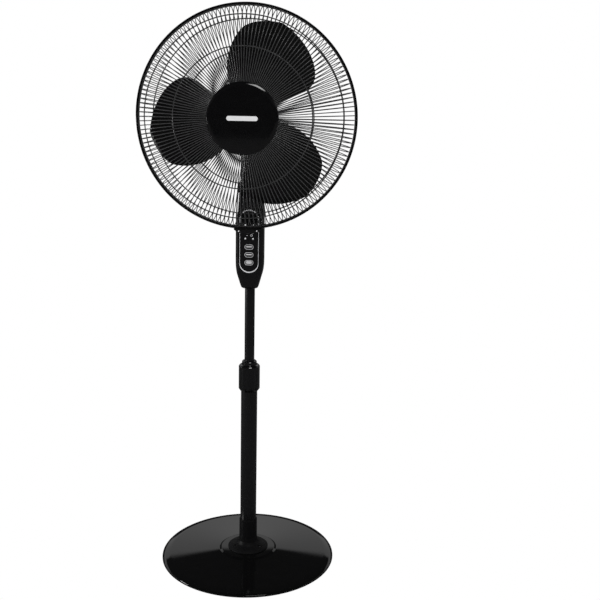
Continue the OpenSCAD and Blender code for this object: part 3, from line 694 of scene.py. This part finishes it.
def build_blade():
    """Three twisted vanes with rounded edges on a domed cup hub."""
    hub_r, front, back, tip = 46, -box_mm("blade_nut")[1].y, 86, 196
    middle, thick = 112, 1.8
    hub = lathe("hub", [
        (3.9, front), (hub_r - 7, front, 4), (hub_r, front - 6, 5), (hub_r, back, 0.5),
        (hub_r - 2.5, back, 0.5), (hub_r - 2.5, front - 6, 3), (hub_r - 7, front - 3, 2),
        (9, front - 3, 1.5), (9, 100), (3.9, 100)], AXIS)
    rows, columns = 56, 48
    parts = [hub]
    for turn in range(3):
        place = AXIS @ Matrix.Rotation(math.radians(120 * turn), 4, "Z")
        bm = bmesh.new()
        sheets = []
        for side in (1, -1):
            sheet = []
            for i in range(rows + 1):
                r = hub_r - 1.2 + (tip - 0.1 - hub_r + 1.2) * (1 - (1 - i / rows) ** 1.8)
                lead, trail = blade_edges(r, tip)
                line = []
                for j in range(columns + 1):
                    s = 0.5 - 0.5 * math.cos(math.pi * j / columns)
                    a = lead + (trail - lead) * s
                    lift = 0.66 * (a - 71) - 14 * s * (1 - s)
                    span = math.radians(trail - lead) * r
                    rim = min(s * span, (1 - s) * span, (tip - r) * 1.2)
                    half = thick / 2 * math.sqrt(min(1.0, 0.08 + rim / 1.6))
                    a = math.radians(a)
                    line.append(bm.verts.new(place @ (Vector(
                        (r * math.cos(a), r * math.sin(a), middle + lift + side * half)) * MM)))
                sheet.append(line)
            sheets.append(sheet)
        for sheet in sheets:
            for i in range(rows):
                for j in range(columns):
                    bm.faces.new((sheet[i][j], sheet[i][j + 1], sheet[i + 1][j + 1], sheet[i + 1][j]))
        top, under = sheets
        border = ([(0, j) for j in range(columns)] + [(i, columns) for i in range(rows)]
                  + [(rows, j) for j in range(columns, 0, -1)] + [(i, 0) for i in range(rows, 0, -1)])
        for (i, j), (m, n) in zip(border, border[1:] + border[:1]):
            bm.faces.new((top[i][j], top[m][n], under[m][n], under[i][j]))
        parts.append(make_object("vane", bm, 50))
    blade = join("fan_vanes", parts)
    shade(blade, 48)
    piece(blade, "blade", "blade_black", BLADE_BLACK, "fan_blade")
    nut = fluted("spinner_cap", [
        (16, front + 0.05, 0.4), (16, front + 4, 1), (12.6, front + 9, 4), (5, front + 12, 5),
        (0.05, front + 12)],
        [(0.05, front + 5), (4.05, front + 5), (4.05, front + 0.05)],
        10, 0.8, front + 0.3, front + 8, AXIS, 2)
    piece(nut, "blade", "satin_black", SATIN_BLACK, "blade_nut")


# ---------------------------------------------------------------- guard

ROD_R = 0.9             # a guard wire
HOOP_R = 1.2
RIM_R = 1.3
RIM_F = 3.2             # the two outer rings stand this far either side of the ring plane
RIM_CENTRE = GUARD_R - 1.55 - RIM_R - 0.05
WIRE_END = RIM_CENTRE - RIM_R - ROD_R - 0.05
HOOPS = (134, 196)


def build_guard_half(name, node, flat, start, side, hoops):
    """Radial wires, straight and then a quarter circle down to the rim, with their hoops."""
    place = RING @ Matrix.Diagonal((1, 1, side, 1))
    bend = flat - RIM_F
    bm = bmesh.new()
    for k in range(WIRES):
        turn = place @ Matrix.Rotation(2 * math.pi * k / WIRES, 4, "Z")
        path = [(start, flat), ((start + WIRE_END - bend) / 2, flat)]
        for j in range(17):
            a = math.pi / 2 * (1 - j / 16)
            path.append((WIRE_END - bend + bend * math.cos(a), RIM_F + bend * math.sin(a)))
        add_tube(bm, [turn @ (Vector((r, 0, h)) * MM) for r, h in path], ROD_R * MM, sides=8)
    wires = make_object(name + "_wires", bm, 60)
    piece(wires, "head", "wire_black", WIRE_BLACK, node + "_wires")
    bm = bmesh.new()
    add_ring(bm, place, RIM_CENTRE, RIM_F, RIM_R, steps=360)
    for r in hoops:
        x = max(0.0, r - WIRE_END + bend)
        slope = math.asin(x / bend)
        gap = HOOP_R + ROD_R + 0.05
        height = RIM_F + math.sqrt(bend ** 2 - x ** 2)
        add_ring(bm, place, r - gap * math.sin(slope), height - gap * math.cos(slope), HOOP_R, steps=300)
    piece(make_object(name + "_hoops", bm, 60), "head", "wire_black", WIRE_BLACK, node + "_rings")


def build_guard():
    """Both halves of the guard, the band and its clip, the centre disc with its bar, and the rear nut."""
    front_flat = -box_mm("front_guard_wires")[0].y + RING_Y - ROD_R
    rear_flat = box_mm("rear_guard_wires")[1].y - RING_Y - ROD_R
    build_guard_half("front_grille", "front_guard", front_flat, 64, 1, (66,) + HOOPS)
    build_guard_half("rear_grille", "rear_guard", rear_flat, 50, -1, HOOPS)
    inner = GUARD_R - 1.55
    outer = GUARD_R + 2
    band = lathe("guard_hoop", [(inner, -5.5, 0.3), (outer, -5.5, 1), (outer, 5.5, 1), (inner, 5.5, 0.3)],
                 RING, steps=480)
    piece(band, "head", "gloss_black", GLOSS_BLACK, "guard_band")

    seat = front_flat + ROD_R + 0.05
    badge = lathe("centre_disc", [
        (0, seat), (BADGE_R - 1, seat, 0.4), (BADGE_R, seat + 1, 0.7), (BADGE_R - 1, seat + 2.4, 0.8),
        (BADGE_R - 5.2, seat + 4.4, 7), (30, seat + 4.95, 30), (0, seat + 5)], RING, steps=240)
    piece(badge, "head", "gloss_black", GLOSS_BLACK, "front_badge")
    bar = slab("centre_bar", 60, 9, seat + 4.3, seat + 5.6, RING, edge=0.25)
    piece(bar, "head", "white_mark", PRINT_WHITE, "name_bar")

    clip_low, clip_high = box_mm("guard_clip")
    clip_r, half = outer + 0.05, (clip_high.x - clip_low.x) / 2
    spread = math.asin(half / clip_r)
    place = RING @ Matrix.Rotation(math.radians(1.2), 4, "Z")
    sections = []
    for k in range(49):
        t = 2 * k / 48 - 1
        a = -math.pi / 2 + spread * t
        depth = 2 + 6.6 * (1 - t ** 4)
        tip = clip_r + depth
        rim = filleted([(clip_r, -9, 0.3), (tip, -9, 1.1), (tip, 9, 1.1), (clip_r, 9, 0.3)])
        sections.append([place @ (Vector((p.x * math.cos(a), p.x * math.sin(a), p.y)) * MM) for p in rim])
    clip = loft("guard_clasp", sections)
    # Two rivets in the near-white painted-highlight colour, standing in for the glints on the clasp.
    rivets = []
    for x in (-18.5, 18.5):
        spot = place @ Matrix.Translation((x * MM, -math.sqrt((clip_r + 4.2) ** 2 - x * x) * MM, 9.02 * MM))
        rivets.append(lathe("rivet", [(0, 0), (1.5, 0), (1.5, 0.4, 0.3), (0.9, 1.1, 0.8), (0, 1.1)], spot,
                            steps=32))
    piece(join("clasp_rivets_painted_glints", rivets), "head", "steel", PAINTED_HIGHLIGHT_WHITE)
    foot = place @ Matrix.Translation((0, -(clip_r + 8.65) * MM, 0)) @ Matrix.Rotation(math.pi / 2, 4, "X")
    cut(clip, drill(foot, 2.1, -12, 6, 32))
    piece(clip, "head", "satin_black", SATIN_BLACK, "guard_clip")
    piece(screw_head("clasp_screw", foot, 3.6, 1.6), "head", "steel", STEEL, "clip_screw")

    nut_low, nut_high = box_mm("guard_nut")
    back, front = -nut_high.y, -nut_low.y
    nut = fluted("guard_ring_nut", [
        (20, back), (34, back, 1), (34, front - 2, 1), (31.5, front, 1.2), (22, front, 1), (20, front - 1)],
        [(20, back + 1)], 12, 1.6, back + 0.5, front - 1, AXIS, 1.5)
    piece(nut, "head", "satin_black", SATIN_BLACK, "guard_nut")


# ---------------------------------------------------------------- CAD pieces shown as they are

CARRIED = [
    (CAST, ["base_weight"]),
    (RUBBER, ["base_feet"]),
    (SATIN_BLACK, ["base_plate", "collet", "pole_clamp", "pole_stop", "gear_case", "tilt_neck",
                   "rear_guard_plate"]),
    (STEEL, ["base_screws", "pole_nut", "tilt_bolt", "tilt_nut", "pivot_shaft", "pivot_clip", "cover_screw",
             "stator", "motor_screws", "rotor", "motor_shaft", "clutch_shaft", "crank_link"]),
    (CASTING, ["tilt_bracket", "front_bracket", "rear_bracket"]),
    (BOARD, ["control_board"]),
    (COPPER, ["windings"]),
    (BRONZE, ["bearings"]),
    (NYLON, ["worm_wheel", "crank_gear"]),
    (CAPACITOR, ["capacitor"]),
]


def finish_carried_nodes():
    """Gives the CAD pieces that no new piece replaces their materials."""
    for material, names in CARRIED:
        for name in names:
            mesh = NODES[name].data
            mesh.materials.clear()
            mesh.materials.append(material)


# ---------------------------------------------------------------- surroundings

def build_world():
    """White to the camera. In reflections, a pale band low behind the fan and a dim studio elsewhere."""
    world = bpy.data.worlds.new("studio")
    bpy.context.scene.world = world
    world.use_nodes = True
    tree = world.node_tree
    tree.nodes.clear()

    def node(kind, **values):
        made = tree.nodes.new(kind)
        for key, value in values.items():
            setattr(made, key, value)
        return made

    def link(out, into):
        tree.links.new(out, into)

    def ramp_node(value, stops):
        made = node("ShaderNodeValToRGB")
        made.color_ramp.interpolation = "EASE"
        points = made.color_ramp.elements
        while len(points) < len(stops):
            points.new(0.5)
        for point, (position, level) in zip(points, stops):
            point.position = position
            point.color = (level, level, level, 1)
        link(value, made.inputs["Fac"])
        return made.outputs["Color"]

    def math_node(operation, a, b):
        made = node("ShaderNodeMath", operation=operation)
        for socket, value in zip(made.inputs, (a, b)):
            if isinstance(value, (int, float)):
                socket.default_value = value
            else:
                link(value, socket)
        return made.outputs[0]

    direction = node("ShaderNodeTexCoord").outputs["Generated"]
    parts = node("ShaderNodeSeparateXYZ")
    link(direction, parts.inputs[0])
    rise = math_node("MULTIPLY_ADD", parts.outputs["Z"], 0.5)
    rise.node.inputs[2].default_value = 0.5
    depth = math_node("MULTIPLY_ADD", parts.outputs["Y"], 0.5)
    depth.node.inputs[2].default_value = 0.5
    band = ramp_node(rise, [(0.0, 0.03), (0.635, 0.03), (0.65, 0.55), (0.732, 0.48), (0.742, 0.02),
                            (1.0, 0.02)])
    behind = ramp_node(depth, [(0.0, 0.10), (0.42, 0.10), (0.56, 1.0), (1.0, 1.0)])
    seen = math_node("MULTIPLY", band, behind)
    path = node("ShaderNodeLightPath")
    mirror = node("ShaderNodeBackground")
    mirror.inputs["Color"].default_value = (1, 1, 1, 1)
    link(seen, mirror.inputs["Strength"])
    soft = node("ShaderNodeBackground")
    soft.inputs["Color"].default_value = (1, 1, 1, 1)
    soft.inputs["Strength"].default_value = 0.85
    white = node("ShaderNodeBackground")
    white.inputs["Color"].default_value = (1, 1, 1, 1)
    white.inputs["Strength"].default_value = 1.0
    first = node("ShaderNodeMixShader")
    link(path.outputs["Is Glossy Ray"], first.inputs[0])
    link(soft.outputs[0], first.inputs[1])
    link(mirror.outputs[0], first.inputs[2])
    last = node("ShaderNodeMixShader")
    link(path.outputs["Is Camera Ray"], last.inputs[0])
    link(first.outputs[0], last.inputs[1])
    link(white.outputs[0], last.inputs[2])
    out = node("ShaderNodeOutputWorld")
    link(last.outputs[0], out.inputs["Surface"])


def build_floor():
    """A wide pale floor under the base."""
    bm = bmesh.new()
    ring = [bm.verts.new((14 * math.cos(a), 14 * math.sin(a), -0.0002))
            for a in (2 * math.pi * k / 96 for k in range(96))]
    bm.faces.new(ring)
    floor = make_object("studio_floor", bm)
    mat = surface("pale_floor", (0.82, 0.82, 0.82), 0.7, spread=0.05, grain=40, bump=0.01, tint=0.01)
    floor.data.materials.append(mat)
    lift_to_white(mat)


def lift_to_white(mat):
    """The floor burns out to white for the camera. In reflections it is dark in front and pale behind."""
    tree = mat.node_tree
    shader = tree.nodes["Principled BSDF"]
    path = tree.nodes.new("ShaderNodeLightPath")
    place = tree.nodes.new("ShaderNodeNewGeometry")
    parts = tree.nodes.new("ShaderNodeSeparateXYZ")
    fade = tree.nodes.new("ShaderNodeMapRange")
    fade.inputs["From Min"].default_value = 0.2
    fade.inputs["From Max"].default_value = 2.5
    fade.inputs["To Min"].default_value = 0.08
    fade.inputs["To Max"].default_value = 0.04
    tree.links.new(place.outputs["Position"], parts.inputs[0])
    tree.links.new(parts.outputs["Y"], fade.inputs["Value"])
    previous = shader.outputs[0]
    for test, level in (("Is Glossy Ray", None), ("Is Camera Ray", 1.0)):
        glow = tree.nodes.new("ShaderNodeEmission")
        if level is None:
            tree.links.new(fade.outputs[0], glow.inputs["Strength"])
        else:
            glow.inputs["Strength"].default_value = level
        mix = tree.nodes.new("ShaderNodeMixShader")
        tree.links.new(path.outputs[test], mix.inputs[0])
        tree.links.new(previous, mix.inputs[1])
        tree.links.new(glow.outputs[0], mix.inputs[2])
        previous = mix.outputs[0]
    tree.links.new(previous, tree.nodes["Material Output"].inputs["Surface"])


def softbox(name, spot, target, width, height, power):
    """A rectangular lamp at spot, turned towards target."""
    light = bpy.data.lights.new(name, "AREA")
    light.shape = "RECTANGLE"
    light.size = width
    light.size_y = height
    light.energy = power
    obj = bpy.data.objects.new(name, light)
    bpy.context.scene.collection.objects.link(obj)
    obj.location = spot
    obj.rotation_euler = (Vector(target) - Vector(spot)).to_track_quat("-Z", "Y").to_euler()
    return obj


def build_lights():
    softbox("left_high", (-1.95, -0.3, 0.8), (0, 0, 0.85), 0.5, 0.4, 12)
    softbox("left_low", (-1.9, -0.5, 0.3), (0, 0, 0.5), 0.15, 1.0, 0.35)
    softbox("top_front", (0.6, -1.75, 2.75), (0, 0, 0.8), 1.1, 0.4, 9)


def build_camera():
    """Where the photographer stood: angles in degrees, distance and height in metres."""
    azimuth, pan, pitch, roll = (math.radians(a) for a in (5.146, 3.314, 11.917, 1.114))
    distance, height = 1.9129, 1.0121
    heading = azimuth - pan
    flat = Vector((-math.sin(heading), math.cos(heading), 0))
    right = Vector((math.cos(heading), math.sin(heading), 0))
    ahead = flat * math.cos(pitch) - Vector((0, 0, 1)) * math.sin(pitch)
    up = right.cross(ahead)
    across = right * math.cos(roll) + up * math.sin(roll)
    above = up * math.cos(roll) - right * math.sin(roll)
    spot = Vector((distance * math.sin(azimuth), -distance * math.cos(azimuth), height))
    lens = bpy.data.cameras.new("camera")
    lens.lens = 53.12
    lens.sensor_width = 36
    camera = bpy.data.objects.new("camera", lens)
    bpy.context.scene.collection.objects.link(camera)
    turned = Matrix((across, above, -ahead)).transposed().to_4x4()
    camera.matrix_world = Matrix.Translation(spot) @ turned
    bpy.context.scene.camera = camera
    bpy.context.scene.view_settings.view_transform = "Standard"


# ---------------------------------------------------------------- the scene

build_base()
build_pole()
build_lock_collar()
build_column()
build_motor()
build_blade()
build_guard()
finish_carried_nodes()
build_world()
build_floor()
build_lights()
build_camera()
